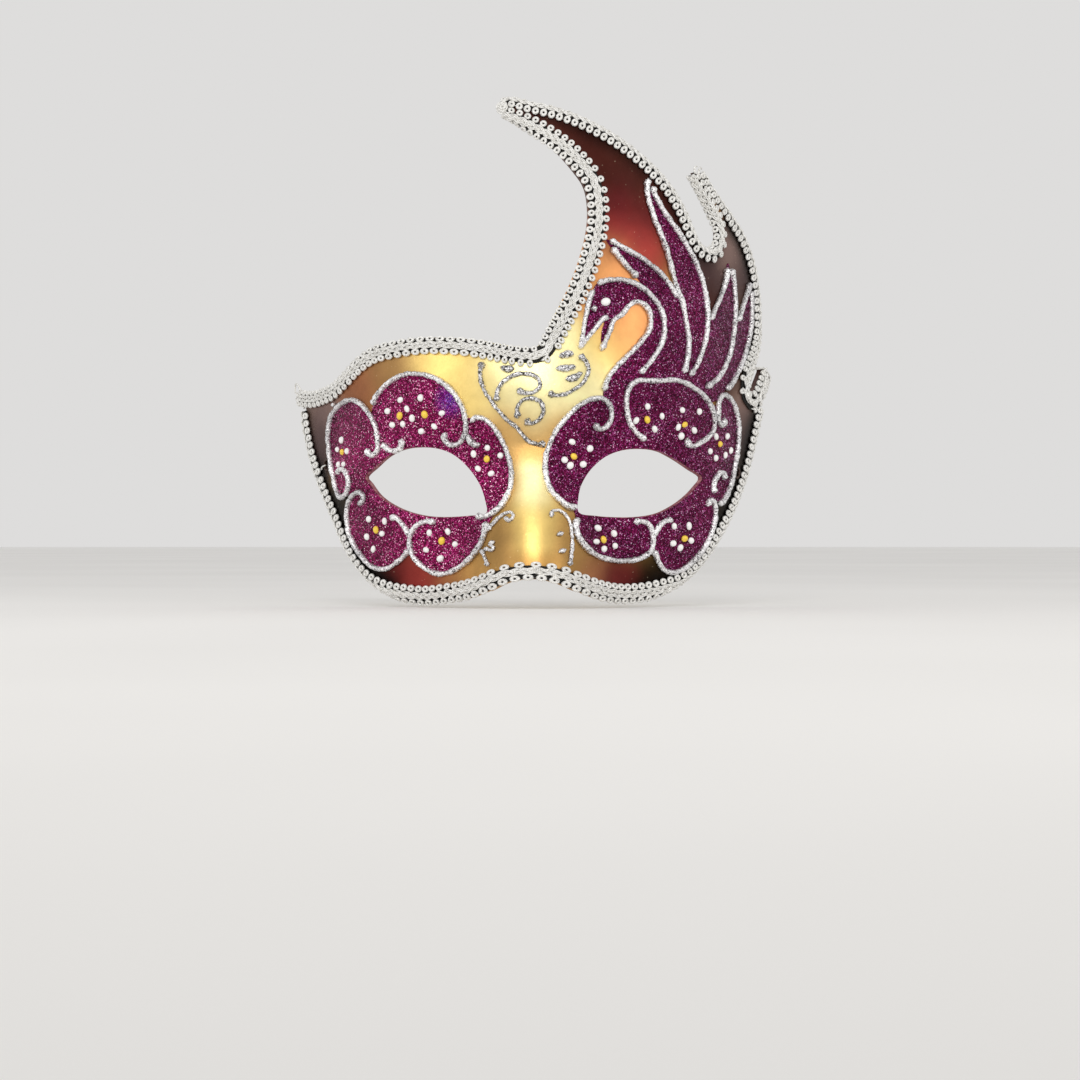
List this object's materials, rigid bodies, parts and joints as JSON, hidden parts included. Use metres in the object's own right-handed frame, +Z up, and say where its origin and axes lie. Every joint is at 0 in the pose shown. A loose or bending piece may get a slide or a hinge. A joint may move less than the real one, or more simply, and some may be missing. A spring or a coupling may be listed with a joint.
{
  "type": "venetian masquerade mask",
  "caption": "Rigid half mask with a tall asymmetric crest, almond eye openings, gimp-braid edging, glitter fields, raised relief lines and dots.",
  "frame": {"origin": "inner face of the nose bridge, on the middle plane of the face at the height of the eyes", "axes": "+Z up, +Y towards the wearer's face, the front of the mask faces -Y, +X to the right as seen from the front"},
  "size_m": [0.1797, 0.0874, 0.1845],
  "materials": {
    "shell": "papier-mache, airbrushed satin metallic gold fading through copper to dark maroon",
    "braid": "silver metallic gimp braid",
    "eyelet": "dark lacquered",
    "magenta_glitter": "magenta glitter in clear binder",
    "purple_glitter": "deep purple glitter in clear binder",
    "relief": "silver-white glitter glue",
    "white_dot": "raised white paint",
    "yellow_dot": "raised yellow paint"
  },
  "bodies": {
    "root": {"shell": "shell", "brow_braid": "braid", "crest_braid": "braid", "side_braid": "braid", "cheek_braid": "braid", "temple_braid": "braid", "left_tie_eyelet": "eyelet", "right_tie_eyelet": "eyelet", "left_eye_glitter": "magenta_glitter", "right_eye_glitter": "purple_glitter", "swan_neck_glitter": "purple_glitter", "swan_wing_glitter": "purple_glitter", "left_temple_scroll": "relief", "left_brow_scroll": "relief", "left_brow_hook": "relief", "left_nose_scroll": "relief", "left_cheek_outer_scroll": "relief", "left_cheek_inner_scroll": "relief", "right_nose_scroll": "relief", "right_temple_scroll": "relief", "right_temple_hook": "relief", "right_cheek_outer_scroll": "relief", "right_cheek_inner_scroll": "relief", "swan_body_line": "relief", "swan_neck_line": "relief", "swan_face_line": "relief", "swan_beak_line": "relief", "first_feather_lines": "relief", "second_feather_lines": "relief", "third_feather_lines": "relief", "fourth_feather_lines": "relief", "forehead_scrolls": "relief", "left_nose_sprig": "relief", "right_nose_sprig": "relief", "left_temple_white_dots": "white_dot", "left_brow_white_dots": "white_dot", "left_nose_white_dots": "white_dot", "left_cheek_white_dots": "white_dot", "right_nose_white_dots": "white_dot", "swan_body_white_dots": "white_dot", "right_temple_white_dots": "white_dot", "right_cheek_white_dots": "white_dot", "left_yellow_dots": "yellow_dot", "right_yellow_dots": "yellow_dot", "swan_eye": "white_dot"}
  },
  "joints": []
}
